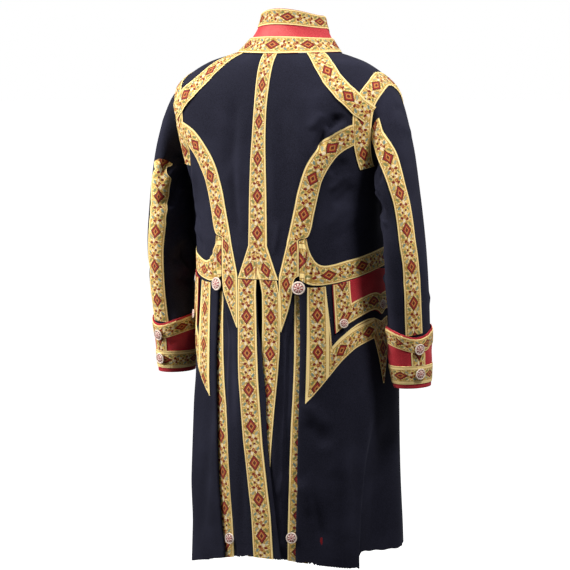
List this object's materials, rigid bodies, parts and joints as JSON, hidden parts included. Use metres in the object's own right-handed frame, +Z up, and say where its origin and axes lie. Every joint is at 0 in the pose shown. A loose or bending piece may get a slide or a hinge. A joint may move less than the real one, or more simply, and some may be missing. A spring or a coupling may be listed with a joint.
{
  "type": "livery coat",
  "caption": "Worn, hollow livery coat in dark wool with a red stand collar, cuffs and pocket flaps, broad woven lace along its seams, a vented back and full skirts",
  "frame": {"origin": "the middle of the neck seam, level with the centre back of the neck, where the coat hangs on the wearer", "axes": "+Z up, the wearer faces -Y, the wearer's left is +X"},
  "size_m": [0.5784, 0.3586, 1.0591],
  "materials": {
    "navy_wool": "fulled wool, short nap",
    "red_wool": "fulled wool, short nap",
    "livery_lace": "figured woven braid",
    "red_bone": "satin dome"
  },
  "bodies": {
    "root": {"back_left": "navy_wool", "back_right": "navy_wool", "front_left": "navy_wool", "front_right": "navy_wool", "skirt_left": "navy_wool", "skirt_right": "navy_wool", "sleeve_left": "navy_wool", "sleeve_right": "navy_wool", "collar": "red_wool", "cuff_left": "red_wool", "cuff_right": "red_wool", "flap_left": "red_wool", "flap_right": "red_wool", "lace_collar_base": "livery_lace", "lace_collar_top": "livery_lace", "lace_centre_back": "livery_lace", "lace_vent_left": "livery_lace", "lace_vent_right": "livery_lace", "lace_side_back_left": "livery_lace", "lace_side_back_right": "livery_lace", "lace_shoulder_left": "livery_lace", "lace_shoulder_right": "livery_lace", "lace_armhole_left": "livery_lace", "lace_armhole_right": "livery_lace", "lace_waist_left": "livery_lace", "lace_waist_right": "livery_lace", "lace_pleat_left": "livery_lace", "lace_pleat_right": "livery_lace", "lace_pocket_left": "livery_lace", "lace_pocket_right": "livery_lace", "lace_flap_left": "livery_lace", "lace_flap_right": "livery_lace", "lace_sleeve_left": "livery_lace", "lace_sleeve_right": "livery_lace", "lace_cuff_top_left": "livery_lace", "lace_cuff_top_right": "livery_lace", "lace_cuff_foot_left": "livery_lace", "lace_cuff_foot_right": "livery_lace", "lace_cuff_strip_left": "livery_lace", "lace_cuff_strip_right": "livery_lace", "button_hip_left": "red_bone", "button_hip_right": "red_bone", "button_pleat_left": "red_bone", "button_pleat_right": "red_bone", "button_flap_left_1": "red_bone", "button_flap_left_2": "red_bone", "button_flap_left_3": "red_bone", "button_flap_right_1": "red_bone", "button_flap_right_2": "red_bone", "button_flap_right_3": "red_bone", "button_cuff_left_1": "red_bone", "button_cuff_left_2": "red_bone", "button_cuff_right_1": "red_bone", "button_cuff_right_2": "red_bone", "button_front_1": "red_bone", "button_front_2": "red_bone", "button_front_3": "red_bone", "button_front_4": "red_bone", "button_front_5": "red_bone"}
  },
  "joints": []
}
